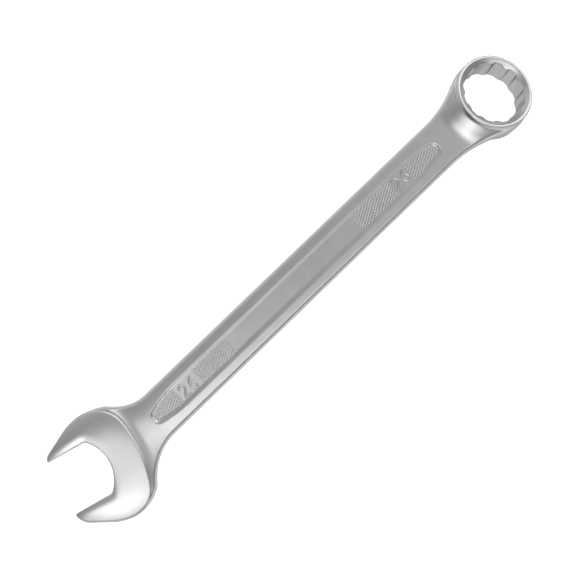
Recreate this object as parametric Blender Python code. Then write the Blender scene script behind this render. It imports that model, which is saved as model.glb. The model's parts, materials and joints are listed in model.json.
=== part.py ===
"""Combination wrench for a 26 mm nut: one drop forging in chrome-vanadium steel.

An open jaw turned 15 degrees to the shank stands at one end, and a 12-point ring dropped 15 degrees
out of the shank's plane at the other. The real tool has no joints or fasteners, so it is one solid.

It is built in the shank's frame: the origin is the centre of the open head, +X runs along the shank
to the ring, and the parting plane of the forging is Z = 0. An empty then lays the finished wrench
down as it rests on a bench, on its two jaw tips and the low edge of the ring.
"""

import math

import bmesh
import bpy
from mathutils import Matrix

MM = 0.001

# The nut, and the distance between the centres of the two ends.
ACROSS_FLATS = 26.0 * MM
CENTRES = 246.0 * MM

# Open head, seen in plan. Its outline is centred on the nut's side of the head.
JAW_TURN = math.radians(15.0)
JAW_CLEARANCE = 0.1 * MM
JAW_CHEEK = 12.7 * MM
JAW_REACH = 24.9 * MM
JAW_TAPER = math.radians(28.2)
HEAD_OFFSET = 0.7 * MM
UPPER_TIP_RADIUS = 4.6 * MM
LOWER_TIP_RADIUS = 6.5 * MM
TIP_INNER_RADIUS = 1.0 * MM
THROAT_RADIUS = 17.8 * MM
THROAT_SET = 0.15 * MM
THROAT_CORNER_RADIUS = 1.5 * MM
BACK_RADIUS = 62.0 * MM
BACK_REACH = 14.5 * MM
BACK_SHIFT = 1.3 * MM
UPPER_SHOULDER_RADIUS = 15.0 * MM
LOWER_SHOULDER_RADIUS = 13.5 * MM

# Open head, seen from the side: draft below a rounded edge, then a soft crown up to the flat middle.
HEAD_THICKNESS = 11.0 * MM
HEAD_DRAFT = 0.25 * MM
HEAD_EDGE_RADIUS = 0.9 * MM
HEAD_CROWN_WIDTH = 5.5 * MM
HEAD_CROWN_DROP = 1.1 * MM
BACK_CROWN_DROP = 0.25 * MM
JAW_EDGE_RADIUS = 0.7 * MM
JAW_CROWN_WIDTH = 4.5 * MM
JAW_CROWN_DROP = 0.8 * MM

# Shank and its two necks.
SHANK_WIDTH = 22.2 * MM
SHANK_THICKNESS = 8.6 * MM
SHANK_CROWN_WIDTH = 11.0 * MM
SHANK_CROWN_DROP = 1.1 * MM
SHANK_EDGE_RADIUS = 2.0 * MM
SHANK_DRAFT = 0.15 * MM
UPPER_NECK_RADIUS = 19.0 * MM
LOWER_NECK_RADIUS = 26.5 * MM
NECK_SHOULDER_RADIUS = 17.5 * MM
NECK_SHOULDER_TURN = math.radians(-110.0)
RING_NECK_LENGTH = 37.0 * MM
RING_NECK_RADIUS = 63.0 * MM
RING_NECK_BLEND = 3.0 * MM
NECK_OVERLAP = 0.5 * MM
NECK_SETBACK = 0.25 * MM

# Recessed panel on both sides of the shank, with bullet-shaped ends.
PANEL_WIDTH = 11.6 * MM
PANEL_DEPTH = 0.7 * MM
PANEL_HEAD_GAP = 27.5 * MM
PANEL_RING_GAP = 35.4 * MM
PANEL_ARCH_RADIUS = 36.0 * MM
PANEL_TIP_RADIUS = 2.5 * MM
PANEL_WALL_SLOPE = 0.7

# Ring end.
RING_DROP = math.radians(15.0)
RING_CENTRE_Z = -2.5 * MM
RING_HEIGHT = 15.0 * MM
RING_WALL = 4.05 * MM
RING_DRAFT = 0.5 * MM
RIM_EDGE_RADIUS = 0.6 * MM
RIM_LAND = 0.8 * MM
RIM_SETBACK = 0.9 * MM
POINTS = 12
POINT_CLEARANCE = 0.19 * MM
LAND_RELIEF = 0.74 * MM
LAND_RADIUS = 2.7 * MM
BORE_TURN = math.radians(3.5)
LEAD_IN_SLOPE = math.radians(30.0)
COVE_LENGTH = 9.5 * MM
COVE_SHIFT = 3.0 * MM
TOP_COVE_RISE = 3.6 * MM
BOTTOM_COVE_RISE = 0.4 * MM

# Facets along each round stretch.
SHANK_EDGE_STEPS = 5
SHANK_CROWN_STATIONS = (0.75, 0.45, 0.15)
NECK_STEP = 2.0 * MM
NECK_REACH = 30.0 * MM
SHANK_STEP = 16.0 * MM
RING_FACETS = 72
EDGE_STEPS = 3
CROWN_STEPS = 3
LAND_STEPS = 6
POCKET_STEPS = 3

# Sizes that follow from the ones above.
JAW_HALF_GAP = (ACROSS_FLATS + JAW_CLEARANCE) / 2
HEAD_RADIUS = JAW_HALF_GAP + JAW_CHEEK
HEAD_HALF = HEAD_THICKNESS / 2
SHANK_HALF_WIDTH = SHANK_WIDTH / 2
SHANK_HALF = SHANK_THICKNESS / 2
POINT_RADIUS = ACROSS_FLATS / math.sqrt(3) + POINT_CLEARANCE
LAND_CREST = ACROSS_FLATS / 2 / math.cos(math.pi / POINTS) + LAND_RELIEF
RING_RADIUS = POINT_RADIUS + RING_WALL
RING_HALF = RING_HEIGHT / 2
RIM_OUTER = RING_RADIUS - RING_DRAFT - RIM_EDGE_RADIUS
RIM_INNER = RIM_OUTER - RIM_LAND
OVERSHOOT = 1.5 * MM


def clear_scene():
    """Removes whatever the scene holds at the start."""
    for thing in list(bpy.data.objects):
        bpy.data.objects.remove(thing, do_unlink=True)


def satin_chrome():
    """Matt chrome plate over a shot-blasted forging: a neutral, softly reflecting metal."""
    material = bpy.data.materials.new("satin_chrome")
    material.use_nodes = True
    shader = material.node_tree.nodes["Principled BSDF"]
    shader.inputs["Base Color"].default_value = (0.60, 0.60, 0.59, 1.0)
    shader.inputs["Metallic"].default_value = 1.0
    shader.inputs["Roughness"].default_value = 0.36
    return material


def arc(centre, radius, start, end, steps):
    """Points along an arc in plan, both ends included."""
    turns = [start + (end - start) * step / steps for step in range(steps + 1)]
    return [(centre[0] + radius * math.cos(turn), centre[1] + radius * math.sin(turn)) for turn in turns]


def circles_meet(first, first_radius, second, second_radius, side):
    """Where two circles cross, on the left (side 1) or right (side -1) of the line between them."""
    dx, dy = second[0] - first[0], second[1] - first[1]
    gap = math.hypot(dx, dy)
    along = (gap**2 + first_radius**2 - second_radius**2) / (2 * gap)
    across = side * math.sqrt(max(first_radius**2 - along**2, 0.0))
    return (
        first[0] + (along * dx - across * dy) / gap,
        first[1] + (along * dy + across * dx) / gap,
    )


def direction(origin, target):
    return math.atan2(target[1] - origin[1], target[0] - origin[0])


def smaller(first, second, blend):
    """The smaller of two widths, rounded off where they cross."""
    overlap = max(blend - abs(first - second), 0.0)
    return min(first, second) - overlap**2 / (4 * blend)


def turned(points, angle):
    """Plan points turned about the origin."""
    cosine, sine = math.cos(angle), math.sin(angle)
    return [(x * cosine - y * sine, x * sine + y * cosine) for x, y in points]


def solid_from_loops(name, loops, matrix=None):
    """A closed body through loops of equal length, with a flat cap on the first and the last."""
    mesh = bpy.data.meshes.new(name)
    shape = bmesh.new()
    rows = [[shape.verts.new(point) for point in loop] for loop in loops]
    for low, high in zip(rows, rows[1:]):
        for index in range(len(low)):
            following = (index + 1) % len(low)
            shape.faces.new((low[index], low[following], high[following], high[index]))
    shape.faces.new(reversed(rows[0]))
    shape.faces.new(rows[-1])
    bmesh.ops.recalc_face_normals(shape, faces=shape.faces)
    if matrix:
        shape.transform(matrix)
    shape.to_mesh(mesh)
    shape.free()
    thing = bpy.data.objects.new(name, mesh)
    bpy.context.scene.collection.objects.link(thing)
    return thing


def hide_helper(thing):
    thing.hide_render = True
    thing.display_type = "WIRE"


def combine(body, operation, helper):
    """Joins a helper to the body, or cuts it away."""
    hide_helper(helper)
    modifier = body.modifiers.new(helper.name, "BOOLEAN")
    modifier.operation = operation
    modifier.solver = "EXACT"
    modifier.object = helper


# --- Open head -------------------------------------------------------------------------------


def edge_profile(edge_radius, crown_width):
    """(distance in from the edge, depth of the edge rounding) up the edge and over the crown."""
    profile = []
    for step in range(EDGE_STEPS + 1):
        turn = math.pi / 2 * step / EDGE_STEPS
        profile.append((edge_radius * (1 - math.cos(turn)), edge_radius * (1 - math.sin(turn))))
    for step in range(1, CROWN_STEPS + 1):
        profile.append((edge_radius + (crown_width - edge_radius) * step / CROWN_STEPS, 0.0))
    return profile


def crown(inset, width, drop):
    """How far a softly crowned face lies below its middle, at a distance in from its edge."""
    return drop * max(1 - inset / width, 0.0) ** 2


def blank_crown_drop(x):
    """The crown is deep along the cheeks and the tips, and almost dies out along the back."""
    share = min(max(x / BACK_REACH, 0.0), 1.0)
    share = share * share * (3 - 2 * share)
    return HEAD_CROWN_DROP + (BACK_CROWN_DROP - HEAD_CROWN_DROP) * share


def head_outline(inset):
    """The head's outline in plan, moved in by the inset, with the mouth on the -X side."""
    radius = HEAD_RADIUS - inset
    back_radius = BACK_RADIUS - inset
    back_centre = (BACK_REACH - BACK_RADIUS, BACK_SHIFT)
    upper = UPPER_SHOULDER_RADIUS - inset
    lower = LOWER_SHOULDER_RADIUS - inset
    head_centre = (0.0, -HEAD_OFFSET)
    upper_shoulder = circles_meet(back_centre, back_radius - upper, head_centre, radius - upper, 1)
    lower_shoulder = circles_meet(back_centre, back_radius - lower, head_centre, radius - lower, -1)
    upper_back = direction(back_centre, upper_shoulder)
    lower_back = direction(back_centre, lower_shoulder)
    upper_side = direction(head_centre, upper_shoulder)
    lower_side = direction(head_centre, lower_shoulder)

    # Each cheek leaves the head circle on a straight taper and ends in a rounded tip.
    flank = math.pi / 2 + JAW_TAPER
    tips = []
    for side, tip_radius in ((1, UPPER_TIP_RADIUS), (-1, LOWER_TIP_RADIUS)):
        tip = max(tip_radius - inset, TIP_INNER_RADIUS / 2)
        tip_x = -(JAW_REACH - inset) + tip
        tip_y = (radius - tip - tip_x * math.cos(flank)) / math.sin(flank)
        tips.append(((tip_x, side * tip_y - HEAD_OFFSET), tip))
    (upper_tip, upper_round), (lower_tip, lower_round) = tips
    return (
        arc(back_centre, back_radius, lower_back, upper_back, 10)
        + arc(upper_shoulder, upper, upper_back, upper_side, 6)[1:]
        + arc(head_centre, radius, upper_side, flank, 8)[1:]
        + arc(upper_tip, upper_round, flank, math.pi, 5)
        + arc(lower_tip, lower_round, math.pi, 2 * math.pi - flank, 5)
        + arc(head_centre, radius, 2 * math.pi - flank, 2 * math.pi + lower_side, 8)[:-1]
        + arc(lower_shoulder, lower, lower_side, lower_back, 6)[:-1]
    )


def head_blank():
    """The head before its mouth is cut: the same edge above and below the parting plane."""
    upper = []
    for inset, rounding in edge_profile(HEAD_EDGE_RADIUS, HEAD_CROWN_WIDTH):
        outline = head_outline(inset)
        drops = [crown(inset, HEAD_CROWN_WIDTH, blank_crown_drop(x)) + rounding for x, y in outline]
        plan = turned(outline, -JAW_TURN)
        upper.append([(x, y, HEAD_HALF - drop) for (x, y), drop in zip(plan, drops)])
    middle = [(x, y, 0.0) for x, y in turned(head_outline(-HEAD_DRAFT), -JAW_TURN)]
    lower = [[(x, y, -z) for x, y, z in loop] for loop in reversed(upper)]
    return solid_from_loops("head_blank", lower + [middle] + upper)


def mouth_outline(offset):
    """The mouth's outline in plan, moved out by the offset: flats, corners and a round throat."""
    half_gap = JAW_HALF_GAP + offset
    corner = THROAT_CORNER_RADIUS + offset
    throat_centre = (-THROAT_SET - THROAT_RADIUS, 0.0)
    throat = THROAT_RADIUS + offset
    corner_y = JAW_HALF_GAP - THROAT_CORNER_RADIUS
    corner_x = throat_centre[0] + math.sqrt((throat - corner) ** 2 - corner_y**2)
    turn = direction(throat_centre, (corner_x, corner_y))
    flare_x = TIP_INNER_RADIUS - JAW_REACH
    flare_y = half_gap + TIP_INNER_RADIUS
    outside = -JAW_REACH - 4 * OVERSHOOT
    return (
        arc(throat_centre, throat, -turn, turn, 16)
        + arc((corner_x, corner_y), corner, turn, math.pi / 2, 3)[1:]
        + arc((flare_x, flare_y), TIP_INNER_RADIUS, -math.pi / 2, -math.pi, 4)
        + [(outside, flare_y), (outside, -flare_y)]
        + arc((flare_x, -flare_y), TIP_INNER_RADIUS, math.pi, math.pi / 2, 4)
        + arc((corner_x, -corner_y), corner, -math.pi / 2, -turn, 3)[:-1]
    )


def mouth_cutter():
    """Cuts the mouth and rounds its edges, so that each jaw is crowned on both its sides."""
    upper = []
    for offset, rounding in edge_profile(JAW_EDGE_RADIUS, JAW_CROWN_WIDTH):
        upper.append((offset, HEAD_HALF - crown(offset, JAW_CROWN_WIDTH, JAW_CROWN_DROP) - rounding))
    upper.append((JAW_CROWN_WIDTH + OVERSHOOT, HEAD_HALF + OVERSHOOT))
    levels = [(offset, -height) for offset, height in reversed(upper)] + upper
    loops = []
    for offset, height in levels:
        outline = turned(mouth_outline(offset), -JAW_TURN)
        loops.append([(x, y, height) for x, y in outline])
    return solid_from_loops("mouth_cutter", loops)


# --- Shank and necks -------------------------------------------------------------------------


def flare(distance, length, radius):
    """How far a neck's side has curved out, at a distance from the centre of its head."""
    run = min(max(length - distance, 0.0), radius)
    return radius - math.sqrt(radius**2 - run**2)


def circle_width(distance, radius):
    return math.sqrt(max(radius**2 - distance**2, 0.0))


def half_width(x, side, shoulder_radius, neck_radius):
    """Half the width of the shank on one side (1 or -1), with its flares into the head and the ring.

    A round shoulder lies just inside the head's edge and runs into the hollow round of the neck,
    whose length follows: the two rounds overlap slightly, and the corner between them is eased.
    """
    inward = HEAD_RADIUS - NECK_SETBACK - shoulder_radius
    shoulder_x = inward * math.cos(NECK_SHOULDER_TURN) - HEAD_OFFSET * math.sin(JAW_TURN)
    shoulder_y = side * (inward * math.sin(NECK_SHOULDER_TURN) - HEAD_OFFSET * math.cos(JAW_TURN))
    reach = shoulder_radius + neck_radius - NECK_OVERLAP
    run = math.sqrt(reach**2 - (SHANK_HALF_WIDTH + neck_radius - shoulder_y) ** 2)
    width = SHANK_HALF_WIDTH + flare(x, shoulder_x + run, neck_radius)
    if x < shoulder_x + run * shoulder_radius / reach:
        shoulder = shoulder_y + circle_width(x - shoulder_x, shoulder_radius)
        width = smaller(width, shoulder, NECK_OVERLAP)
    width += flare(CENTRES - x, RING_NECK_LENGTH, RING_NECK_RADIUS)
    inside_ring = RING_RADIUS - 2 * NECK_SETBACK
    return smaller(width, inside_ring, RING_NECK_BLEND) if x > CENTRES / 2 else width


def cove(x, y, rise):
    """Extra height of the neck as it sweeps up to the ring's wall, fading away inside the ring."""
    outside = math.hypot(CENTRES + COVE_SHIFT - x, y) - RING_RADIUS
    if outside > 0:
        return rise * max(1 - outside / COVE_LENGTH, 0.0) ** 3
    return rise * max(1 + outside / (RING_RADIUS / 2), 0.0)


def below_rim(x, side):
    """How high a neck may stand at x to stay under the rim on that face of the dropped ring."""
    lean = side * (CENTRES - x) * math.tan(RING_DROP)
    return side * RING_CENTRE_Z + (RING_HALF - RIM_SETBACK) / math.cos(RING_DROP) + lean


def quarter(x, side, width, rise, face):
    """A quarter of the section: from the parting line over the rounded edge to near the middle."""
    wall = width - SHANK_DRAFT
    edge_y = wall - SHANK_EDGE_RADIUS

    def top(y):
        swept = SHANK_HALF + cove(x, y, rise) - crown(width - y, SHANK_CROWN_WIDTH, SHANK_CROWN_DROP)
        return smaller(swept, below_rim(x, face), RIM_SETBACK) if face > 0 else swept

    points = []
    for step in range(SHANK_EDGE_STEPS + 1):
        turn = math.radians(80.0) * step / SHANK_EDGE_STEPS
        z = top(edge_y) - SHANK_EDGE_RADIUS * (1 - math.sin(turn))
        points.append((x, side * (edge_y + SHANK_EDGE_RADIUS * math.cos(turn)), z))
    return points + [(x, side * y, top(y)) for y in (edge_y * share for share in SHANK_CROWN_STATIONS)]


def section(x):
    """One closed section of the shank across X: drafted sides, rounded edges, crowned faces."""
    upper = half_width(x, 1, HEAD_RADIUS - NECK_SETBACK, UPPER_NECK_RADIUS)
    lower = half_width(x, -1, NECK_SHOULDER_RADIUS, LOWER_NECK_RADIUS)
    top = quarter(x, 1, upper, TOP_COVE_RISE, 1) + quarter(x, -1, lower, TOP_COVE_RISE, 1)[::-1]
    bottom = quarter(x, -1, lower, BOTTOM_COVE_RISE, -1)
    bottom += quarter(x, 1, upper, BOTTOM_COVE_RISE, -1)[::-1]
    return [(x, upper, 0.0)] + top + [(x, -lower, 0.0)] + [(x, y, -z) for x, y, z in bottom]


def shank():
    """The shank as a loft, with close sections in the necks and few along the straight."""
    start = -HEAD_RADIUS / 3
    neck_end = NECK_REACH + BACK_REACH
    ring_neck = CENTRES - RING_RADIUS - NECK_REACH
    stations = spaced(start, neck_end, NECK_STEP)[:-1]
    stations += spaced(neck_end, ring_neck, SHANK_STEP)[:-1]
    stations += spaced(ring_neck, CENTRES, NECK_STEP)
    return solid_from_loops("wrench_forging", [section(x) for x in stations])


def spaced(start, end, step):
    """Evenly spaced stations from start to end, about a step apart."""
    count = max(round((end - start) / step), 1)
    return [start + (end - start) * index / count for index in range(count + 1)]


def panel_outline(offset):
    """A long panel whose ends are blunt bullets, moved out by the offset."""
    half = PANEL_WIDTH / 2 + offset
    tip = PANEL_TIP_RADIUS + offset
    arch = PANEL_ARCH_RADIUS + offset
    start = PANEL_HEAD_GAP - offset
    end = CENTRES - PANEL_RING_GAP + offset
    tip_centre = (start + tip, 0.0)
    arch_centre = (tip_centre[0] + math.sqrt((arch - tip) ** 2 - (arch - half) ** 2), half - arch)
    turn = direction(arch_centre, tip_centre)
    upper = arc(tip_centre, tip, math.pi, turn, 5)
    upper += arc(arch_centre, arch, turn, math.pi / 2, 7)[1:]
    upper += [(start + end - x, y) for x, y in reversed(upper)]
    return upper + [(x, -y) for x, y in reversed(upper[1:-1])]


def panel_cutter(name, side):
    """Cuts the panel's flat floor and its sloping walls on one side of the shank."""
    depth = PANEL_DEPTH + OVERSHOOT
    floor = SHANK_HALF - PANEL_DEPTH
    levels = [(0.0, floor), (PANEL_WALL_SLOPE * depth, floor + depth)]
    loops = [[(x, y, side * height) for x, y in panel_outline(offset)] for offset, height in levels]
    return solid_from_loops(name, loops)


# --- Ring end --------------------------------------------------------------------------------


def ring_matrix():
    """From the ring's own axis and centre to the shank's frame."""
    return Matrix.Translation((CENTRES, 0.0, RING_CENTRE_Z)) @ Matrix.Rotation(RING_DROP, 4, "Y")


def circle(radius, height):
    return [(x, y, height) for x, y in arc((0.0, 0.0), radius, 0.0, 2 * math.pi, RING_FACETS)[:-1]]


def ring_blank():
    """The ring before broaching: a drafted wall between two narrow rounded rims."""
    rim = []
    for step in range(EDGE_STEPS + 1):
        turn = math.pi / 2 * step / EDGE_STEPS
        radius = RIM_OUTER + RIM_EDGE_RADIUS * math.cos(turn)
        rim.append((radius, RING_HALF - RIM_EDGE_RADIUS * (1 - math.sin(turn))))
    levels = [(radius, -height) for radius, height in reversed(rim)]
    levels.append((RING_RADIUS, 0.0))
    levels += rim
    return solid_from_loops("ring_blank", [circle(*level) for level in levels], ring_matrix())


def bore_outline():
    """Twelve round-bottomed pockets between twelve convex lands that drive the nut's flats."""
    land_centre = LAND_CREST + LAND_RADIUS
    half_land = math.acos(
        (land_centre**2 + POINT_RADIUS**2 - LAND_RADIUS**2) / (2 * land_centre * POINT_RADIUS)
    )
    swing = math.asin(POINT_RADIUS * math.sin(half_land) / LAND_RADIUS)
    pitch = 2 * math.pi / POINTS
    outline = []
    for point in range(POINTS):
        middle = BORE_TURN + pitch * (point + 0.5)
        centre = (land_centre * math.cos(middle), land_centre * math.sin(middle))
        outline += arc(centre, LAND_RADIUS, middle + math.pi + swing, middle + math.pi - swing, LAND_STEPS)
        pocket_end = middle + pitch - half_land
        outline += arc((0.0, 0.0), POINT_RADIUS, middle + half_land, pocket_end, POCKET_STEPS)[1:-1]
    return outline


def bore_cutter():
    """The broached 12-point hole, run past both faces of the ring."""
    depth = RING_HALF + OVERSHOOT
    loops = [[(x, y, height) for x, y in bore_outline()] for height in (-depth, depth)]
    return solid_from_loops("bore_cutter", loops, ring_matrix())


def lead_in_cutter(name, side):
    """The cone that leads a nut into the bore on one face of the ring."""
    inner = LAND_CREST * 0.8
    slope = math.tan(LEAD_IN_SLOPE)
    bottom = RING_HALF - (RIM_INNER - inner) * slope
    levels = [(inner, bottom), (RIM_INNER + OVERSHOOT / slope, RING_HALF + OVERSHOOT)]
    loops = [circle(radius, side * height) for radius, height in levels]
    return solid_from_loops(name, loops, ring_matrix())


# --- Assembly --------------------------------------------------------------------------------


def bench_matrix(points):
    """Lays the wrench on Z = 0, on its jaw tips and its ring, with its box centred on the origin."""
    tilt = 0.0
    for _ in range(6):
        turn = Matrix.Rotation(tilt, 3, "Y")
        laid = [turn @ point for point in points]
        head_low = min((point for point, old in zip(laid, points) if old.x < CENTRES / 2), key=lambda p: p.z)
        ring_low = min((point for point, old in zip(laid, points) if old.x > CENTRES / 2), key=lambda p: p.z)
        tilt += math.atan2(ring_low.z - head_low.z, ring_low.x - head_low.x)
    turn = Matrix.Rotation(tilt, 3, "Y")
    laid = [turn @ point for point in points]
    low = [min(point[axis] for point in laid) for axis in range(3)]
    high = [max(point[axis] for point in laid) for axis in range(3)]
    shift = (-(low[0] + high[0]) / 2, -(low[1] + high[1]) / 2, -low[2])
    return Matrix.Translation(shift) @ turn.to_4x4()


def build():
    clear_scene()
    wrench = shank()
    wrench.data.materials.append(satin_chrome())
    combine(wrench, "UNION", head_blank())
    combine(wrench, "UNION", ring_blank())
    combine(wrench, "DIFFERENCE", mouth_cutter())
    combine(wrench, "DIFFERENCE", panel_cutter("top_panel_cutter", 1))
    combine(wrench, "DIFFERENCE", panel_cutter("bottom_panel_cutter", -1))
    combine(wrench, "DIFFERENCE", bore_cutter())
    combine(wrench, "DIFFERENCE", lead_in_cutter("top_lead_in_cutter", 1))
    combine(wrench, "DIFFERENCE", lead_in_cutter("bottom_lead_in_cutter", -1))
    wrench.data.shade_smooth()
    wrench.data.set_sharp_from_angle(angle=math.radians(35.0))

    bpy.context.view_layer.update()
    evaluated = wrench.evaluated_get(bpy.context.evaluated_depsgraph_get())
    points = [vertex.co.copy() for vertex in evaluated.data.vertices]
    bench = bpy.data.objects.new("bench_frame", None)
    bpy.context.scene.collection.objects.link(bench)
    for thing in list(bpy.data.objects):
        if thing is not bench:
            thing.parent = bench
    bench.matrix_world = bench_matrix(points)


build()
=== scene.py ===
import json
import math

import bpy
import numpy as np
from mathutils import Matrix, Vector


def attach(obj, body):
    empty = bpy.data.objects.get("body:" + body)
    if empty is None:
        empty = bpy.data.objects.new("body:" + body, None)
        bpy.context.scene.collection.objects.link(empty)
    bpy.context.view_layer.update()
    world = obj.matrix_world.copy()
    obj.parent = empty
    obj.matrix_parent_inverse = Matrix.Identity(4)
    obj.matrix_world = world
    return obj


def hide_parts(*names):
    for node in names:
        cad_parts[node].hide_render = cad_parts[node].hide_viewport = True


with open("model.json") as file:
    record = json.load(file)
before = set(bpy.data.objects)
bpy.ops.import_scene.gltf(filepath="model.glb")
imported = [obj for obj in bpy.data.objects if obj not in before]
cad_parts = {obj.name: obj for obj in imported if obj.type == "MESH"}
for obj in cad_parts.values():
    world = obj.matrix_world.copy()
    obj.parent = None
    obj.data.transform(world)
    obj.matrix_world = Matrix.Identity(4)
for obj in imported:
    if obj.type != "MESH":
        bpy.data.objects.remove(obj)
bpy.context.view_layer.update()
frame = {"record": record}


# The forging. A combination wrench is one drop forging in chrome-vanadium steel, ground in the
# jaw, broached in the ring, shot blasted all over and plated with satin chrome. Millimetres, with
# +X from the centre of the jaw to the ring, and z = 0 on the parting plane of the dies.

NUT = 26.0
CENTRES = 246.0

JAW_TURN = math.radians(15.0)
JAW_CLEARANCE = 0.1
JAW_HALF_GAP = NUT / 2 + JAW_CLEARANCE / 2
JAW_CHEEK = 13.0
HEAD_RADIUS = JAW_HALF_GAP + JAW_CHEEK
HEAD_OFFSET = 1.05
HEAD_HALF = 5.5
HEAD_DRAFT = 0.25
HEAD_EDGE = 0.9
HEAD_DOME_WIDTH = 18.0
HEAD_DOME_DROP = 1.9
HEAD_DOME_MOST = 1.3
CROWN_MOST = 1.2
JAW_REACH = 24.9
JAW_TAPER = math.radians(28.1)
JAW_EDGE = 0.5
JAW_CROWN_WIDTH = 4.5
JAW_CROWN_DROP = 0.8
JAW_CROWN_FADE = 0.8
JAW_CROWN_RUN = 9.0
UPPER_TIP = 4.6
LOWER_TIP = 8.0
THROAT_RADIUS = 17.8
THROAT_SET = 0.15
THROAT_CORNER = 1.5
LIP_RADIUS = 1.0
LIP_TURN = math.radians(45.0)
LIP_RUN = 30
BACK_RADIUS = 62.0
BACK_REACH = 14.5
BACK_SHIFT = 1.3
UPPER_SHOULDER = 15.0
LOWER_SHOULDER = 13.5

SHANK_HALF_WIDTH = 11.1
SHANK_HALF = 4.3
SHANK_EDGE = 1.8
SHANK_DRAFT = 0.15
UPPER_HAUNCH = 26.6
UPPER_HAUNCH_TURN = math.radians(120.0)
UPPER_NECK = 18.8
LOWER_HAUNCH = 18.1
LOWER_HAUNCH_TURN = math.radians(-109.0)
LOWER_NECK = 26.6
RING_NECK_LENGTH = 34.5
RING_NECK = 57.0
RING_NECK_BLEND = 3.0
NECK_OVERLAP = 0.35
NECK_BLEND = 1.2
NECK_SETBACK = 0.25
SHANK_CROWN_WIDTH = 11.0
SHANK_CROWN_DROP = 1.1
HEAD_SWEEP = 5.5
HEAD_CLIMB = 1.0
HEAD_STEP = 0.25
HEAD_RELEASE = 0.5
HEAD_RELEASE_BLEND = 0.8
HEAD_BLEND = 0.5
SHANK_STOP = 2.0
BEND_START = 41.0
BEND_LENGTH = 30.0

PANEL_HALF_WIDTH = 5.0
PANEL_MIDDLE_Y = 0.1
PANEL_FLOOR = 3.6
PANEL_START = 27.5
PANEL_END = CENTRES - 36.0
PANEL_ARCH = 54.0
PANEL_TIP = 2.7
PANEL_WALL_SLOPE = 0.7
PANEL_LOWER_SLOPE = 2.4
PANEL_ROOT = 0.5
PANEL_EDGE = 0.3

RING_DROP = math.radians(15.0)
RING_CENTRE_Z = -2.5
RING_SET_X = 0.5
RING_SET_Y = -0.45
RING_HALF = 7.5
POINTS = 12
POCKET_CLEARANCE = 0.3
POCKET_RADIUS = NUT / math.sqrt(3) + POCKET_CLEARANCE
LAND_CLEARANCE = 0.88
LAND_CREST = NUT / 2 / math.cos(math.pi / POINTS) + LAND_CLEARANCE
LAND_RADIUS = 2.7
LAND_BLEND = 0.35
BORE_TURN = math.radians(3.5)
RING_WALL = 3.85
RING_RADIUS = POCKET_RADIUS + RING_WALL
RING_DRAFT = 0.5
RIM_EDGE = 0.6
RIM_WIDTH = 0.8
RIM_INNER = RING_RADIUS - RING_DRAFT - RIM_EDGE - RIM_WIDTH
LEAD_IN_SLOPE = math.radians(30.0)
LEAD_IN_EDGE = 0.2
BORE_EDGE = 0.15
RING_BLEND = 0.6
RIM_SETBACK = 0.9
COVE_LENGTH = 11.0
COVE_CENTRE_X = CENTRES - 3.0
COVE_RADIUS = RING_RADIUS - 6.0
COVE_START = 6.0
TOP_COVE_SLOPE = 0.4
BOTTOM_COVE_SLOPE = 0.05


def shared(one, other, edge):
    """What two bodies have in common, with the edge where their skins cross rounded."""
    rounded = np.hypot(np.maximum(edge + one, 0.0), np.maximum(edge + other, 0.0))
    return np.minimum(-edge, np.maximum(one, other)) + rounded


def lesser(one, other, blend):
    """The lesser of two depths or heights, run together over the blend."""
    overlap = np.maximum(blend - np.abs(one - other), 0.0)
    return np.minimum(one, other) - overlap**2 / (4 * blend)


def eased(share):
    share = np.clip(share, 0.0, 1.0)
    return share * share * (3 - 2 * share)


def meeting(first, first_radius, second, second_radius, side):
    """Centre of a round that runs into two others, left (1) or right (-1) of the line between."""
    dx, dy = second[0] - first[0], second[1] - first[1]
    gap = math.hypot(dx, dy)
    along = (gap**2 + first_radius**2 - second_radius**2) / (2 * gap)
    across = side * math.sqrt(max(first_radius**2 - along**2, 0.0))
    return first[0] + (along * dx - across * dy) / gap, first[1] + (along * dy + across * dx) / gap


def bearing(origin, target):
    return math.atan2(target[1] - origin[1], target[0] - origin[0])


def on_round(centre, radius, turn):
    return centre[0] + radius * math.cos(turn), centre[1] + radius * math.sin(turn)


def outside_of(outline, x, y):
    """Distance outside an outline of rounds and straights that run into each other, in plan."""
    slack = 1e-6
    nearest = np.full(np.broadcast(x, y).shape, np.inf)
    for kind, *values in outline:
        if kind == "round":
            (cx, cy), radius, start, end, side = values
            turn = (np.arctan2(y - cy, x - cx) - start + slack) % (2 * math.pi)
            gap = side * (np.hypot(x - cx, y - cy) - radius)
            gap = np.where(turn <= end - start + 2 * slack, gap, np.inf)
        else:
            (x0, y0), (x1, y1) = values
            length = math.hypot(x1 - x0, y1 - y0)
            along = ((x - x0) * (x1 - x0) + (y - y0) * (y1 - y0)) / length
            across = ((x - x0) * (y1 - y0) - (y - y0) * (x1 - x0)) / length
            gap = np.where((along >= -slack) & (along <= length + slack), across, np.inf)
        nearest = np.where(np.abs(gap) < np.abs(nearest), gap, nearest)
    return nearest


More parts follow.
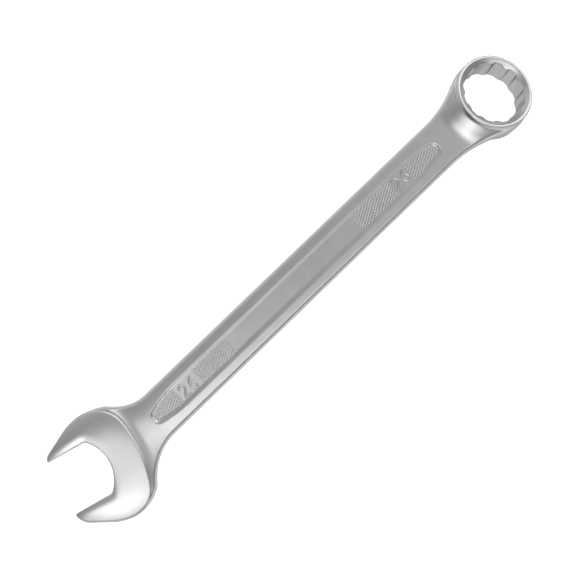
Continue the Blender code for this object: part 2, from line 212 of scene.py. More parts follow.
def head_outline():
    """The head in plan: a long back curve, two shoulders, round cheeks and tapered jaws."""
    back = (BACK_REACH - BACK_RADIUS, BACK_SHIFT)
    head = (0.0, -HEAD_OFFSET)
    upper = meeting(back, BACK_RADIUS - UPPER_SHOULDER, head, HEAD_RADIUS - UPPER_SHOULDER, 1)
    lower = meeting(back, BACK_RADIUS - LOWER_SHOULDER, head, HEAD_RADIUS - LOWER_SHOULDER, -1)
    flank = math.pi / 2 + JAW_TAPER
    tips = []
    for side, tip in ((1, UPPER_TIP), (-1, LOWER_TIP)):
        tip_y = (HEAD_RADIUS - tip - (tip - JAW_REACH) * math.cos(flank)) / math.sin(flank)
        tips.append((tip - JAW_REACH, side * tip_y - HEAD_OFFSET))
    upper_tip, lower_tip = tips
    upper_end = on_round(upper_tip, UPPER_TIP, math.pi)
    lower_end = on_round(lower_tip, LOWER_TIP, math.pi)
    upper_back, lower_back = bearing(back, upper), bearing(back, lower)
    upper_side, lower_side = bearing(head, upper), bearing(head, lower)
    full = 2 * math.pi
    return [
        ("round", back, BACK_RADIUS, lower_back, upper_back, 1),
        ("round", upper, UPPER_SHOULDER, upper_back, upper_side, 1),
        ("round", head, HEAD_RADIUS, upper_side, flank, 1),
        ("straight", on_round(head, HEAD_RADIUS, flank), on_round(upper_tip, UPPER_TIP, flank)),
        ("round", upper_tip, UPPER_TIP, flank, math.pi, 1),
        ("straight", upper_end, lower_end),
        ("round", lower_tip, LOWER_TIP, math.pi, full - flank, 1),
        ("straight", on_round(lower_tip, LOWER_TIP, -flank), on_round(head, HEAD_RADIUS, -flank)),
        ("round", head, HEAD_RADIUS, full - flank, full + lower_side, 1),
        ("round", lower, LOWER_SHOULDER, lower_side, lower_back, 1),
    ]


def mouth_outline():
    """The mouth in plan: two flats, tight corners into a round throat, and lips that flare."""
    throat = (-THROAT_SET - THROAT_RADIUS, 0.0)
    corner_y = JAW_HALF_GAP - THROAT_CORNER
    corner_x = throat[0] + math.sqrt((THROAT_RADIUS - THROAT_CORNER) ** 2 - corner_y**2)
    turn = bearing(throat, (corner_x, corner_y))
    upper, lower = (corner_x, corner_y), (corner_x, -corner_y)
    upper_lip = (LIP_RADIUS - JAW_REACH, JAW_HALF_GAP + LIP_RADIUS)
    lower_lip = (upper_lip[0], -upper_lip[1])
    quarter = math.pi / 2
    upper_exit = on_round(upper_lip, LIP_RADIUS, -quarter - LIP_TURN)
    lower_exit = on_round(lower_lip, LIP_RADIUS, quarter + LIP_TURN)
    away = (-LIP_RUN * math.cos(LIP_TURN), LIP_RUN * math.sin(LIP_TURN))
    return [
        ("straight", (lower_exit[0] + away[0], lower_exit[1] - away[1]), lower_exit),
        ("round", lower_lip, LIP_RADIUS, quarter, quarter + LIP_TURN, -1),
        ("straight", (lower_lip[0], -JAW_HALF_GAP), (corner_x, -JAW_HALF_GAP)),
        ("round", lower, THROAT_CORNER, -quarter, -turn, 1),
        ("round", throat, THROAT_RADIUS, -turn, turn, 1),
        ("round", upper, THROAT_CORNER, turn, quarter, 1),
        ("straight", (corner_x, JAW_HALF_GAP), (upper_lip[0], JAW_HALF_GAP)),
        ("round", upper_lip, LIP_RADIUS, -quarter - LIP_TURN, -quarter, -1),
        ("straight", upper_exit, (upper_exit[0] + away[0], upper_exit[1] + away[1])),
    ]


HEAD_OUTLINE = head_outline()
MOUTH_OUTLINE = mouth_outline()


def head(x, y, z):
    """Distance outside the head, its mouth not yet cut, and its outline, and its face's height."""
    along = x * math.cos(JAW_TURN) - y * math.sin(JAW_TURN)
    across = x * math.sin(JAW_TURN) + y * math.cos(JAW_TURN)
    side = outside_of(HEAD_OUTLINE, along, across)
    mouth = outside_of(MOUTH_OUTLINE, along, across)
    inset = HEAD_RADIUS - np.hypot(along, across + HEAD_OFFSET)
    dome = HEAD_DOME_DROP * np.clip(1 - inset / HEAD_DOME_WIDTH, 0.0, HEAD_DOME_MOST) ** 3
    crown = JAW_CROWN_DROP * np.clip(1 - mouth / JAW_CROWN_WIDTH, 0.0, CROWN_MOST) ** 2
    crown = crown * (1 - JAW_CROWN_FADE * eased((along + JAW_CROWN_RUN) / JAW_CROWN_RUN))
    face = HEAD_HALF - dome - crown
    blank = shared(side - HEAD_DRAFT * (1 - np.abs(z) / HEAD_HALF), np.abs(z) - face, HEAD_EDGE)
    return blank, side, face


def flare(distance, length, radius):
    """How far a neck's side has curved out, at a distance from the centre of its head."""
    run = np.clip(length - distance, 0.0, radius)
    return radius - np.sqrt(radius**2 - run**2)


def half_width(x, side, haunch, turn, neck):
    """Half the width of the shank on one side: a round haunch at the head, then a hollow neck."""
    inward = HEAD_RADIUS - NECK_SETBACK - haunch
    haunch_x = inward * math.cos(turn) - HEAD_OFFSET * math.sin(JAW_TURN)
    haunch_y = side * (inward * math.sin(turn) - HEAD_OFFSET * math.cos(JAW_TURN))
    reach = haunch + neck - NECK_OVERLAP
    run = math.sqrt(reach**2 - (SHANK_HALF_WIDTH + neck - haunch_y) ** 2)
    width = SHANK_HALF_WIDTH + flare(x, haunch_x + run, neck)
    beside_head = haunch_y + np.sqrt(np.maximum(haunch**2 - (x - haunch_x) ** 2, 0.0))
    near_head = x < haunch_x + run * haunch / reach
    width = np.where(near_head, lesser(width, beside_head, NECK_BLEND), width)
    width = width + flare(CENTRES - x, RING_NECK_LENGTH, RING_NECK)
    narrowed = lesser(width, RING_RADIUS - 2 * NECK_SETBACK, RING_NECK_BLEND)
    return np.where(x > CENTRES / 2, narrowed, width)


def bullet(x, y):
    """Distance outside the panel's outline in plan: a long strip with bullet-shaped ends."""
    reach = (PANEL_END - PANEL_START) / 2
    along = np.abs(x - (PANEL_START + PANEL_END) / 2)
    across = np.abs(y - PANEL_MIDDLE_Y)
    tip = reach - PANEL_TIP
    arch_y = PANEL_HALF_WIDTH - PANEL_ARCH
    arch_x = tip - math.sqrt((PANEL_ARCH - PANEL_TIP) ** 2 - arch_y**2)
    turn = math.atan2(-arch_y, tip - arch_x)
    sides = across - PANEL_HALF_WIDTH
    arch = np.hypot(along - arch_x, across - arch_y) - PANEL_ARCH
    nose = np.hypot(along - tip, across) - PANEL_TIP
    bent = np.arctan2(across - arch_y, along - arch_x) < turn
    return np.where(along < arch_x, sides, np.where(bent, nose, arch))


def middle_y(x, y):
    """How far to one side of the shank's middle, which bends a little towards the ring."""
    return y - RING_SET_Y * eased((x - CENTRES + BEND_START) / BEND_LENGTH)


def on_ring(x, y, z):
    """A point on the ring's own axes: distance from its axis, height above its middle, turn."""
    run, rise, y = x - CENTRES - RING_SET_X, z - RING_CENTRE_Z, y - RING_SET_Y
    flat = run * math.cos(RING_DROP) - rise * math.sin(RING_DROP)
    height = run * math.sin(RING_DROP) + rise * math.cos(RING_DROP)
    return np.hypot(flat, y), height, np.arctan2(y, flat)


def shank(x, y, z, behind_head, head_face):
    """Distance outside the shank and its two necks, with the panel sunk in both faces."""
    step = 0.01
    sides = []
    upper = (1, UPPER_HAUNCH, UPPER_HAUNCH_TURN, UPPER_NECK)
    lower = (-1, LOWER_HAUNCH, LOWER_HAUNCH_TURN, LOWER_NECK)
    for neck in (upper, lower):
        width = half_width(x, *neck)
        wider = half_width(x + step, *neck)
        slope = (wider - width) / step
        sides.append((neck[0] * middle_y(x, y) - width) / np.sqrt(1 + slope**2))
    side = np.maximum(*sides)
    crown = SHANK_CROWN_DROP * np.clip(1 + side / SHANK_CROWN_WIDTH, 0.0, CROWN_MOST) ** 2
    outside = np.hypot(COVE_CENTRE_X - x, y - RING_SET_Y) - COVE_RADIUS
    up_cove = np.clip(COVE_LENGTH - np.maximum(outside, 0.0), 0.0, COVE_LENGTH)
    ramp = np.where(up_cove < COVE_START, up_cove**2 / (2 * COVE_START), up_cove - COVE_START / 2)
    cove = np.where(z > 0, TOP_COVE_SLOPE, BOTTOM_COVE_SLOPE) * ramp
    cove = cove * np.clip(1 + outside / COVE_RADIUS, 0.0, 1.0)
    climb = HEAD_CLIMB * np.clip(1 - np.abs(behind_head) / HEAD_SWEEP, 0.0, 1.0) ** 3
    top = SHANK_HALF + cove + climb - crown
    below_face = head_face - HEAD_STEP + HEAD_RELEASE * np.maximum(behind_head, 0.0)
    top = np.where(x < CENTRES / 4, lesser(top, below_face, HEAD_RELEASE_BLEND), top)
    below_rim = RING_CENTRE_Z + (RING_HALF - RIM_SETBACK) / math.cos(RING_DROP)
    below_rim = below_rim + (CENTRES - x) * math.tan(RING_DROP)
    top = np.where(z > 0, lesser(top, below_rim, RIM_SETBACK), top)
    wall = side + SHANK_DRAFT * np.clip(np.abs(z) / (SHANK_HALF - SHANK_EDGE), 0.0, 1.0)
    body = shared(wall, np.abs(z) - top, SHANK_EDGE)
    body = np.maximum(body, np.maximum(x - CENTRES + SHANK_STOP, -HEAD_RADIUS / 3 - x))
    panel = bullet(x, y)
    lower = eased((PANEL_MIDDLE_Y - y) / PANEL_HALF_WIDTH)
    lean = PANEL_WALL_SLOPE + (PANEL_LOWER_SLOPE - PANEL_WALL_SLOPE) * lower
    slant = (panel - lean * (np.abs(z) - PANEL_FLOOR)) / np.hypot(1.0, lean)
    pocket = shared(slant, PANEL_FLOOR - np.abs(z), PANEL_ROOT)
    return shared(body, -pocket, PANEL_EDGE)


def ring_shell(x, y, z):
    """Distance outside the ring before its bore: a drafted wall and two rounded rims."""
    out, height, _ = on_ring(x, y, z)
    wall = out - (RING_RADIUS - RING_DRAFT * np.abs(height) / (RING_HALF - RIM_EDGE))
    return shared(wall, np.abs(height) - RING_HALF, RIM_EDGE)


def ring_bore(x, y, z):
    """Distance inside the ring's hole: twelve pockets between twelve lands, and two lead-ins."""
    out, height, turn = on_ring(x, y, z)
    pitch = 2 * math.pi / POINTS
    turn = (turn - BORE_TURN) % pitch - pitch / 2
    land = np.hypot(out * np.cos(turn) - LAND_CREST - LAND_RADIUS, out * np.sin(turn))
    land = land - LAND_RADIUS
    broached = lesser(POCKET_RADIUS - out, land, LAND_BLEND)
    lead_in = (RIM_INNER - out) * math.sin(LEAD_IN_SLOPE)
    lead_in = lead_in - (RING_HALF - np.abs(height)) * math.cos(LEAD_IN_SLOPE)
    return shared(broached, lead_in, LEAD_IN_EDGE)


def inside_mouth(x, y):
    """Distance inside the mouth."""
    along = x * math.cos(JAW_TURN) - y * math.sin(JAW_TURN)
    across = x * math.sin(JAW_TURN) + y * math.cos(JAW_TURN)
    return -outside_of(MOUTH_OUTLINE, along, across)


def wrench(x, y, z):
    """Distance outside the whole forging."""
    blank, behind_head, head_face = head(x, y, z)
    body = lesser(shank(x, y, z, behind_head, head_face), blank, HEAD_BLEND)
    body = shared(body, inside_mouth(x, y), JAW_EDGE)
    body = lesser(body, ring_shell(x, y, z), RING_BLEND)
    return shared(body, ring_bore(x, y, z), BORE_EDGE)


def slope_of(depth, points):
    """Which way, and how fast, the distance grows at each point."""
    reach = 0.02
    slopes = []
    for axis in range(3):
        ahead, behind = points.copy(), points.copy()
        ahead[:, axis] += reach
        behind[:, axis] -= reach
        slopes.append((depth(*ahead.T) - depth(*behind.T)) / (2 * reach))
    return np.stack(slopes, 1)


def skin(depth, xs, ys, zs):
    """Points, four-sided faces and normals of the skin where the distance is zero."""
    slab, most_move, least_slope = 40, 0.2, 0.05
    spans = [xs[start : start + slab] for start in range(0, len(xs), slab)]
    y, z = ys[None, :, None], zs[None, None, :]
    field = np.concatenate([depth(span[:, None, None], y, z) for span in spans])
    inside = field < 0
    count = sum(
        inside[i : len(xs) - 1 + i, j : len(ys) - 1 + j, k : len(zs) - 1 + k].astype(np.int8)
        for i in (0, 1) for j in (0, 1) for k in (0, 1)
    )
    cells = np.argwhere((count > 0) & (count < 8))
    number = np.full(count.shape, -1)
    number[tuple(cells.T)] = np.arange(len(cells))

    # One point in each cell that the skin passes through, at the middle of where it crosses.
    total, crossings = np.zeros((len(cells), 3)), np.zeros(len(cells))
    lines = (xs, ys, zs)
    for axis in range(3):
        for one in (0, 1):
            for other in (0, 1):
                corner = np.zeros(3, int)
                corner[(axis + 1) % 3], corner[(axis + 2) % 3] = one, other
                low = cells + corner
                high = low.copy()
                high[:, axis] += 1
                start, end = field[tuple(low.T)], field[tuple(high.T)]
                cut = (start < 0) != (end < 0)
                share = start / np.where(cut, start - end, 1.0)
                spot = np.stack([lines[a][low[:, a]] for a in range(3)], 1)
                spot[:, axis] += share * (lines[axis][high[:, axis]] - lines[axis][low[:, axis]])
                total[cut] += spot[cut]
                crossings += cut
    points = total / crossings[:, None]

    # Each point is then drawn on to the skin itself.
    for _ in range(3):
        slope = slope_of(depth, points)
        pace = depth(*points.T) / np.maximum((slope**2).sum(1), least_slope)
        points -= np.clip(pace[:, None] * slope, -most_move, most_move)

    # A face round each grid line that the skin cuts, wound so that it faces outwards.
    faces = []
    for axis in range(3):
        start = np.moveaxis(inside, axis, 0)[:-1]
        end = np.moveaxis(inside, axis, 0)[1:]
        turned = np.moveaxis(number, axis, 0)
        for outward, cut in ((True, start & ~end), (False, ~start & end)):
            a, b, c = np.argwhere(cut).T
            corners = [(b - 1, c - 1), (b, c - 1), (b, c), (b - 1, c)]
            ring = [turned[a, near, far] for near, far in corners]
            flip = outward == (axis == 1)
            faces.append(np.stack(ring[::-1] if flip else ring, 1))
    normals = slope_of(depth, points)
    normals /= np.linalg.norm(normals, axis=1)[:, None]
    return points, np.concatenate(faces), normals


def spaced(start, end, step):
    return np.linspace(start, end, max(round((end - start) / step), 1) + 1)[:-1]


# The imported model's upper jaw flat says how the wrench's own axes lie in the frame.
FLAT_MIDDLE = 15.0
jaw_flat = next(mount for mount in frame["record"]["mounts"] if mount["name"] == "jaw_flat_upper")
bench_tilt = math.atan2(jaw_flat["axis"][2], -jaw_flat["axis"][0])
on_bench = Matrix.Rotation(bench_tilt, 4, "Y") @ Matrix.Diagonal((0.001, 0.001, 0.001, 1.0))
flat_middle = Matrix.Rotation(-JAW_TURN, 4, "Z") @ Vector((-FLAT_MIDDLE, JAW_HALF_GAP, 0.0))
on_bench = Matrix.Translation(Vector(jaw_flat["pos_m"]) - on_bench @ flat_middle) @ on_bench


def laid_on_bench(name, points, faces, normals):
    """An object whose mesh is already at its place in the frame."""
    turn = np.array(on_bench)
    mesh = bpy.data.meshes.new(name)
    mesh.from_pydata((points @ turn[:3, :3].T + turn[:3, 3]).tolist(), [], faces.tolist())
    mesh.shade_smooth()
    mesh.normals_split_custom_set_from_vertices((normals @ turn[:3, :3].T * 1000).tolist())
    piece = bpy.data.objects.new(name, mesh)
    bpy.context.scene.collection.objects.link(piece)
    return piece


# Fine cells at both ends, and long ones down the straight shank.
CELL = 0.42
LONG_CELL = 1.5
HEAD_END, SHANK_START, SHANK_END, RING_END = -30.0, 46.0, 205.0, 268.0
HALF_SPAN = 27.5
LOWEST, HIGHEST = -15.5, 10.5
xs = np.concatenate([
    spaced(HEAD_END, SHANK_START, CELL), spaced(SHANK_START, SHANK_END, LONG_CELL),
    spaced(SHANK_END, RING_END, CELL), [RING_END],
])
ys = np.append(spaced(-HALF_SPAN, HALF_SPAN, CELL), HALF_SPAN)
zs = np.append(spaced(LOWEST, HIGHEST, CELL), HIGHEST)
points, faces, normals = skin(wrench, xs, ys, zs)
forging = laid_on_bench("forging", points, faces, normals)


def from_hex(colour):
    """A colour written as sRGB hex, turned to linear."""
    values = [int(colour[place : place + 2], 16) / 255 for place in (0, 2, 4)]
    linear = (v / 12.92 if v <= 0.04045 else ((v + 0.055) / 1.055) ** 2.4 for v in values)
    return (*linear, 1.0)


def add_node(tree, kind, settings=None, **links):
    """Adds one node, sets its own settings and its sockets' values, and links its inputs."""
    node = tree.nodes.new(kind)
    for key, value in (settings or {}).items():
        setattr(node, key, value)
    for name, value in links.items():
        socket = node.inputs[int(name[1:]) if name[0] == "_" else name.replace("_", " ")]
        if isinstance(value, bpy.types.NodeSocket):
            tree.links.new(value, socket)
        else:
            socket.default_value = value
    return node


# Patterns across a metre. The blasted grain is really some 0.1 mm and is drawn at 0.3 mm so that
# it shows; the plating clouds over about 8 mm.
GRAINS = 3200.0
CLOUDS = 120.0


def satin_chrome():
    """Satin chrome over shot-blasted steel: neutral grey, soft reflections, a fine even grain."""
    material = bpy.data.materials.new("satin_chrome")
    material.use_nodes = True
    tree = material.node_tree
    shader = tree.nodes["Principled BSDF"]
    shader.inputs["Metallic"].default_value = 1.0
    # The blasted pits keep it from turning bright where it is seen at a glancing angle.
    shader.inputs["Specular Tint"].default_value = from_hex("B4B4B4")
    place = add_node(tree, "ShaderNodeTexCoord").outputs["Object"]
    grain = add_node(tree, "ShaderNodeTexNoise", Vector=place, Scale=GRAINS, Detail=2.0)
    cloud = add_node(tree, "ShaderNodeTexNoise", Vector=place, Scale=CLOUDS, Detail=3.0)
    tint = add_node(tree, "ShaderNodeMix", {"data_type": "RGBA"}, Factor=cloud.outputs["Fac"])
    tint.inputs[6].default_value = from_hex("A3A3A3")
    tint.inputs[7].default_value = from_hex("ABABAB")
    tree.links.new(tint.outputs[2], shader.inputs["Base Color"])
    gloss = add_node(tree, "ShaderNodeMapRange", Value=cloud.outputs["Fac"])
    gloss.inputs["To Min"].default_value = 0.27
    gloss.inputs["To Max"].default_value = 0.33
    tree.links.new(gloss.outputs["Result"], shader.inputs["Roughness"])
    height = grain.outputs["Fac"]
    bump = add_node(tree, "ShaderNodeBump", Height=height, Strength=0.12, Distance=0.0001)
    tree.links.new(bump.outputs["Normal"], shader.inputs["Normal"])
    return material


# Grinding lines across a metre: 4 mm long and a sixth of a millimetre apart.
GRINDING_LINES = (250.0, 250.0, 6000.0)


def ground_chrome():
    """The mouth's ground walls under the same plating: brighter, finely lined by the grinding."""
    material = bpy.data.materials.new("ground_chrome")
    material.use_nodes = True
    tree = material.node_tree
    shader = tree.nodes["Principled BSDF"]
    shader.inputs["Metallic"].default_value = 1.0
    place = add_node(tree, "ShaderNodeTexCoord").outputs["Object"]
    drawn = add_node(tree, "ShaderNodeMapping", Vector=place, Scale=GRINDING_LINES)
    lines = add_node(tree, "ShaderNodeTexNoise", Vector=drawn.outputs[0], Scale=1.0, Detail=2.0)
    tint = add_node(tree, "ShaderNodeMix", {"data_type": "RGBA"}, Factor=lines.outputs["Fac"])
    tint.inputs[6].default_value = from_hex("D0D0D0")
    tint.inputs[7].default_value = from_hex("E4E4E4")
    tree.links.new(tint.outputs[2], shader.inputs["Base Color"])
    shader.inputs["Roughness"].default_value = 0.3
    height = lines.outputs["Fac"]
    bump = add_node(tree, "ShaderNodeBump", Height=height, Strength=0.2, Distance=0.0001)
    tree.links.new(bump.outputs["Normal"], shader.inputs["Normal"])
    return material


# A face is on the mouth's ground wall, flats and throat alike, if it stands upright within a hair
# of the mouth's outline.
UPRIGHT = 0.5
HAIR = 0.05
chrome = satin_chrome()
forging.data.materials.append(chrome)
forging.data.materials.append(ground_chrome())
middles = points[faces].mean(1)
upright = np.abs(normals[faces].mean(1)[:, 2]) < UPRIGHT
ground = upright & (np.abs(inside_mouth(middles[:, 0], middles[:, 1])) < HAIR)
forging.data.polygons.foreach_set("material_index", ground.astype(np.int32))
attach(forging, "root")
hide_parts("wrench_forging")


# The knurl. Rows of small pearls stand on the floor of the panel, sunk into the forging die so
# that they rise with the steel. They stop short at the size marks, and the middle stays smooth.

PEARL_COLUMN = 1.19
PEARL_ROW = 1.385
PEARL_RADIUS = 0.74
PEARL_HALF_HEIGHT = 0.3
PEARL_RISE = 0.19
KNURL_MARGIN = 0.8
SMOOTH_MIDDLE = (76.9, 156.9)
MARK_PLACES = ((48.9, -0.2), (186.6, 0.5))
MARK_HALF_ROOM = 5.7


def knurl_tree():
    """Pearls on a staggered lattice, kept inside the bullet-ended panel, on both faces."""
    tree = bpy.data.node_groups.new("pearl_knurl", "GeometryNodeTree")
    sizes = {
        "Column pitch": PEARL_COLUMN, "Row pitch": PEARL_ROW, "Pearl radius": PEARL_RADIUS,
        "Pearl half height": PEARL_HALF_HEIGHT, "Pearl rise": PEARL_RISE,
        "Panel middle y": PANEL_MIDDLE_Y, "Panel middle": (PANEL_START + PANEL_END) / 2,
        "Panel reach": (PANEL_END - PANEL_START) / 2, "Panel half width": PANEL_HALF_WIDTH,
        "Arch radius": PANEL_ARCH, "Tip radius": PANEL_TIP, "Margin": KNURL_MARGIN,
        "Floor height": PANEL_FLOOR, "Smooth from": SMOOTH_MIDDLE[0], "Smooth to": SMOOTH_MIDDLE[1],
        "First mark": MARK_PLACES[0][0], "Second mark": MARK_PLACES[1][0],
        "Mark room": MARK_HALF_ROOM,
    }
    face = tree.interface
    for name, value in sizes.items():
        face.new_socket(name, in_out="INPUT", socket_type="NodeSocketFloat").default_value = value
    face.new_socket("Finish", in_out="INPUT", socket_type="NodeSocketMaterial")
    face.new_socket("Pearls", in_out="OUTPUT", socket_type="NodeSocketGeometry")
    size = add_node(tree, "NodeGroupInput").outputs

    def maths(operation, *values):
        given = {f"_{place}": value for place, value in enumerate(values)}
        return add_node(tree, "ShaderNodeMath", {"operation": operation}, **given).outputs[0]

    def both(one, other):
        node = add_node(tree, "FunctionNodeBooleanMath", {"operation": "AND"}, _0=one, _1=other)
        return node.outputs[0]

    def above(one, other):
        node = add_node(tree, "FunctionNodeCompare", {"operation": "GREATER_THAN"}, A=one, B=other)
        return node.outputs[0]

    def separated():
        position = add_node(tree, "GeometryNodeInputPosition").outputs[0]
        return add_node(tree, "ShaderNodeSeparateXYZ", Vector=position)

    length = maths("MULTIPLY", size["Panel reach"], 2.0)
    columns = maths("FLOOR", maths("DIVIDE", length, size["Column pitch"]))
    rows = maths("FLOOR", maths("DIVIDE", size["Panel half width"], size["Row pitch"]))
    rows = maths("MULTIPLY", maths("ADD", rows, 1.0), 2.0)
    lattice = add_node(
        tree, "GeometryNodeMeshGrid",
        _0=maths("MULTIPLY", maths("SUBTRACT", columns, 1.0), size["Column pitch"]),
        _1=maths("MULTIPLY", maths("SUBTRACT", rows, 1.0), size["Row pitch"]),
        _2=columns, _3=rows,
    ).outputs["Mesh"]
    place = separated()
    # The quarter keeps a column that lies halfway between two numbers from rounding both ways.
    column = maths("DIVIDE", place.outputs["X"], size["Column pitch"])
    column = maths("ROUND", maths("ADD", column, 0.25))
    odd = maths("ABSOLUTE", maths("MODULO", column, 2.0))
    half_row = maths("MULTIPLY", size["Row pitch"], 0.5)
    stagger = maths("MULTIPLY", maths("SUBTRACT", odd, 0.5), half_row)
    stagger = maths("ADD", stagger, size["Panel middle y"])
    shift = add_node(
        tree, "ShaderNodeCombineXYZ",
        X=size["Panel middle"], Y=stagger, Z=size["Floor height"],
    ).outputs[0]
    lattice = add_node(tree, "GeometryNodeSetPosition", Geometry=lattice, Offset=shift).outputs[0]

    place = separated()
    x = place.outputs["X"]
    across = maths("ABSOLUTE", maths("SUBTRACT", place.outputs["Y"], size["Panel middle y"]))
    along = maths("ABSOLUTE", maths("SUBTRACT", x, size["Panel middle"]))
    arch_y = maths("SUBTRACT", size["Panel half width"], size["Arch radius"])
    span = maths("SUBTRACT", size["Arch radius"], size["Tip radius"])
    arch_run = maths("SUBTRACT", maths("POWER", span, 2.0), maths("POWER", arch_y, 2.0))
    arch_run = maths("SQRT", arch_run)
    arch_x = maths("SUBTRACT", maths("SUBTRACT", size["Panel reach"], size["Tip radius"]), arch_run)
    past = maths("MAXIMUM", maths("SUBTRACT", along, arch_x), 0.0)
    rise = maths("SUBTRACT", across, arch_y)
    reach = maths("SQRT", maths("ADD", maths("POWER", past, 2.0), maths("POWER", rise, 2.0)))
    inside = above(maths("SUBTRACT", size["Arch radius"], size["Margin"]), reach)
    inside = both(inside, above(maths("SUBTRACT", size["Panel reach"], size["Margin"]), along))
    middle = maths("MULTIPLY", maths("ADD", size["Smooth from"], size["Smooth to"]), 0.5)
    smooth = maths("MULTIPLY", maths("SUBTRACT", size["Smooth to"], size["Smooth from"]), 0.5)
    inside = both(inside, above(maths("ABSOLUTE", maths("SUBTRACT", x, middle)), smooth))
    for mark in ("First mark", "Second mark"):
        away = maths("ABSOLUTE", maths("SUBTRACT", x, size[mark]))
        inside = both(inside, above(away, size["Mark room"]))

    pearl = add_node(tree, "GeometryNodeMeshUVSphere", Segments=8, Rings=6, Radius=1.0)
    radius = size["Pearl radius"]
    spread = add_node(tree, "ShaderNodeCombineXYZ", X=radius, Y=radius, Z=size["Pearl half height"])
    sunk = maths("SUBTRACT", size["Pearl rise"], size["Pearl half height"])
    pearl = add_node(
        tree, "GeometryNodeTransform", Geometry=pearl.outputs["Mesh"], Scale=spread.outputs[0],
        Translation=add_node(tree, "ShaderNodeCombineXYZ", Z=sunk).outputs[0],
    ).outputs[0]
    pearl = add_node(tree, "GeometryNodeSetShadeSmooth", Geometry=pearl).outputs[0]
    top = add_node(
        tree, "GeometryNodeInstanceOnPoints", Points=lattice, Selection=inside, Instance=pearl
    ).outputs[0]
    under = add_node(tree, "GeometryNodeTransform", Geometry=top, Scale=(1.0, 1.0, -1.0)).outputs[0]
    under = add_node(tree, "GeometryNodeFlipFaces", Mesh=under).outputs[0]
    whole = add_node(tree, "GeometryNodeJoinGeometry")
    tree.links.new(top, whole.inputs[0])
    tree.links.new(under, whole.inputs[0])
    real = add_node(tree, "GeometryNodeRealizeInstances", Geometry=whole.outputs[0]).outputs[0]
    plated = add_node(tree, "GeometryNodeSetMaterial", Geometry=real, Material=size["Finish"])
    add_node(tree, "NodeGroupOutput", Pearls=plated.outputs[0])
    return tree


def grown(name, tree, finish):
    """What a tree of Geometry Nodes makes, as a plain mesh laid on the bench."""
    seed = bpy.data.objects.new(name, bpy.data.meshes.new(name))
    bpy.context.scene.collection.objects.link(seed)
    modifier = seed.modifiers.new(name, "NODES")
    modifier.node_group = tree
    for socket in tree.interface.items_tree:
        if socket.in_out == "INPUT":
            value = finish if socket.name == "Finish" else socket.default_value
            modifier[socket.identifier] = value
    ready = seed.evaluated_get(bpy.context.evaluated_depsgraph_get())
    mesh = bpy.data.meshes.new_from_object(ready)
    seed.modifiers.clear()
    seed.data = mesh
    mesh.name = name
    mesh.transform(on_bench)
    return seed


knurl = grown("knurl", knurl_tree(), chrome)
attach(knurl, "root")


# The size marks. The nut's size, 26, stands in relief at both ends of the panel on both faces,
# cut into the die with a round cutter, so that its strokes have soft shoulders and round ends.

MARK_HEIGHT = 6.3
MARK_WIDTH = 3.5
MARK_STROKE = 0.55
MARK_RISE = 0.27
MARK_SPACING = 5.3
MARK_SLOPE = 0.7
MARK_ROOT = 0.3
# The margin is set so that no cell of the grid pinches the skin of the 6.
MARK_CELL = 0.13
MARK_MARGIN = 0.83


def bend(cx, cy, width, height, start, end, steps=12):
    """Part of an oval stroke, from one bearing to another in degrees."""
    turns = [math.radians(start + (end - start) * step / steps) for step in range(steps + 1)]
    return [(cx + width * math.cos(turn), cy + height * math.sin(turn)) for turn in turns]


TWO = bend(1.75, 4.5, 1.4, 1.55, 165, -35) + [(0.35, 0.35), (3.25, 0.35)]
SIX = bend(3.9, 2.05, 3.55, 4.3, 112, 180) + bend(1.75, 2.05, 1.4, 1.7, 180, 540, 24)


def stroke_of(path):
    """Distance outside a raised stroke that follows a path, on the panel's floor."""
    def stroke(x, y, z):
        nearest = np.full(np.broadcast(x, y).shape, np.inf)
        for (x0, y0), (x1, y1) in zip(path, path[1:]):
            run, rise = x1 - x0, y1 - y0
            share = ((x - x0) * run + (y - y0) * rise) / (run * run + rise * rise)
            share = np.clip(share, 0.0, 1.0)
            nearest = np.minimum(nearest, np.hypot(x - x0 - share * run, y - y0 - share * rise))
        top = PANEL_FLOOR + MARK_RISE * (1 - (nearest / MARK_STROKE) ** 2)
        return np.maximum(MARK_SLOPE * (z - top), PANEL_FLOOR - MARK_ROOT - z)
    return stroke


def size_marks():
    """Both digits at each place, and again on the under side, turned so that they read there."""
    xs = np.arange(-MARK_MARGIN, MARK_WIDTH + 1.1, MARK_CELL)
    ys = np.arange(-MARK_MARGIN, MARK_HEIGHT + 0.9, MARK_CELL)
    zs = np.arange(PANEL_FLOOR - 0.5, PANEL_FLOOR + 0.6, MARK_CELL)
    digits = [skin(stroke_of(path), xs, ys, zs) for path in (TWO, SIX)]
    points, faces, normals, count = [], [], [], 0
    for middle, rise in MARK_PLACES:
        for number, (spots, sides, ways) in enumerate(digits):
            left = middle + MARK_SPACING * (number - 0.5) - MARK_WIDTH / 2
            moved = spots + (left, rise - MARK_HEIGHT / 2, 0.0)
            for turn, shift in (((1, 1, 1), 0.0), ((1, -1, -1), 2 * PANEL_MIDDLE_Y)):
                points.append(moved * turn + (0.0, shift, 0.0))
                normals.append(ways * turn)
                faces.append(sides + count)
                count += len(spots)
    return np.concatenate(points), np.concatenate(faces), np.concatenate(normals)


marks = laid_on_bench("size_marks", *size_marks())
marks.data.materials.append(chrome)
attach(marks, "root")


# The floor, the lights and the camera. A pale sheet that glows a little, soft boxes round a grey
# studio, and a long lens nearly overhead.

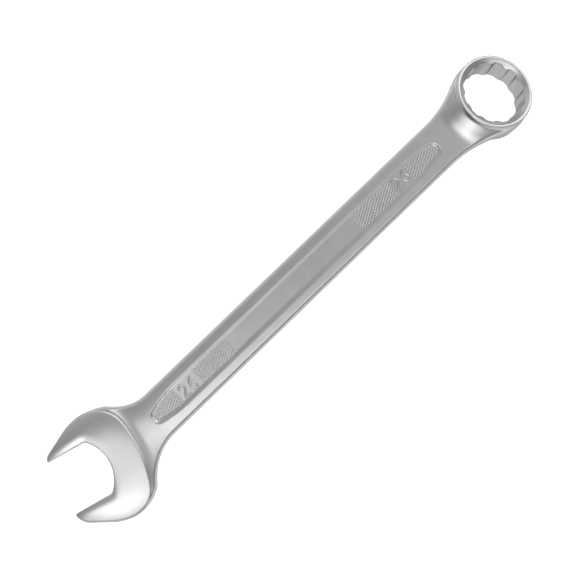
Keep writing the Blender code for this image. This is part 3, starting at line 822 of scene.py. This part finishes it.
FLOOR_HALF = 3
floor_mesh = bpy.data.meshes.new("floor")
signs = ((-1, -1), (1, -1), (1, 1), (-1, 1))
floor_corners = [(x * FLOOR_HALF, y * FLOOR_HALF, 0) for x, y in signs]
floor_mesh.from_pydata(floor_corners, [], [(0, 1, 2, 3)])
floor = bpy.data.objects.new("floor", floor_mesh)
bpy.context.scene.collection.objects.link(floor)
paper = bpy.data.materials.new("matt_paper")
paper.use_nodes = True
sheet = paper.node_tree.nodes["Principled BSDF"].inputs
sheet["Base Color"].default_value = from_hex("FAFAFA")
sheet["Roughness"].default_value = 0.9
sheet["Emission Color"].default_value = (1.0, 1.0, 1.0, 1.0)
sheet["Emission Strength"].default_value = 0.5
floor.data.materials.append(paper)

studio = bpy.data.worlds.new("studio")
bpy.context.scene.world = studio
studio.use_nodes = True
studio.node_tree.nodes["Background"].inputs["Color"].default_value = (1.0, 1.0, 1.0, 1.0)
studio.node_tree.nodes["Background"].inputs["Strength"].default_value = 0.5


BOX_DISTANCE = 1.5


def soft_box(name, lean, bearing, width, height, brightness):
    """A soft box near the wrench, leaning from straight up towards a bearing from +X."""
    lean, bearing = math.radians(lean), math.radians(bearing)
    light = bpy.data.lights.new(name, "AREA")
    light.shape = "RECTANGLE"
    light.size, light.size_y = width, height
    light.energy = math.pi * width * height * brightness
    box = bpy.data.objects.new(name, light)
    bpy.context.scene.collection.objects.link(box)
    turn = Matrix.Rotation(bearing, 4, "Z") @ Matrix.Rotation(lean, 4, "Y")
    box.matrix_world = turn @ Matrix.Translation((0.0, 0.0, BOX_DISTANCE))


# Lean and bearing in degrees, width and height in metres, brightness.
soft_box("head_box", 17.0, 205.0, 0.6, 0.8, 0.45)
soft_box("ring_box", 20.0, 0.0, 0.6, 1.2, 0.42)
soft_box("front_box", 27.0, 250.0, 0.55, 0.9, 1.25)
soft_box("low_key_box", 50.0, 208.0, 0.55, 0.8, 1.2)
soft_box("end_box", 50.0, 15.0, 0.7, 1.5, 2.2)
soft_box("far_box", 58.0, 78.0, 1.5, 1.5, 0.55)
soft_box("cone_box", 38.0, 283.0, 0.4, 0.6, 1.2)

# The key box is three lights of one shape, one inside another, so that it fades at the edges. It
# makes the bright patch in the cove.
KEY_WIDTH, KEY_HEIGHT = 0.73, 0.48
KEY_BRIGHTNESS = 2.2
KEY_PLACE = Vector((-290.0, -140.0, 1085.0))
for layer, share in enumerate((0.5, 0.8, 1.05)):
    key = bpy.data.lights.new(f"key_box_{layer}", "AREA")
    key.shape = "RECTANGLE"
    key.size, key.size_y = KEY_WIDTH * share, KEY_HEIGHT * share
    key.energy = math.pi * key.size * key.size_y * KEY_BRIGHTNESS
    key_box = bpy.data.objects.new(key.name, key)
    bpy.context.scene.collection.objects.link(key_box)
    key_box.location = on_bench @ KEY_PLACE

# The camera's place and leans are on the wrench's own axes, and the last turn sets it aslant.
LENS = 103.64
CAMERA_PLACE = Vector((15.48, -53.69, 763.5))
LEAN_X = 0.128
LEAN_Y = 0.069
ROLL = 0.004
PICTURE_TURN = math.radians(44.17)
back = Vector((
    -math.sin(LEAN_X) * math.cos(LEAN_Y), -math.sin(LEAN_Y), math.cos(LEAN_X) * math.cos(LEAN_Y)
))
along = (Vector((1, 0, 0)) - back.x * back).normalized()
across = back.cross(along)
level = Matrix((along, across, back)).transposed()
level = level @ Matrix.Rotation(ROLL, 3, "Z") @ Matrix.Rotation(-PICTURE_TURN, 3, "Z")
lens = bpy.data.cameras.new("camera")
lens.lens = LENS
lens.sensor_width = 36.0
lens.clip_end = 10.0
camera = bpy.data.objects.new("camera", lens)
bpy.context.scene.collection.objects.link(camera)
bench_turn = Matrix.Rotation(bench_tilt, 3, "Y")
camera.matrix_world = Matrix.Translation(on_bench @ CAMERA_PLACE) @ (bench_turn @ level).to_4x4()
bpy.context.scene.camera = camera
bpy.context.scene.view_settings.view_transform = "Standard"
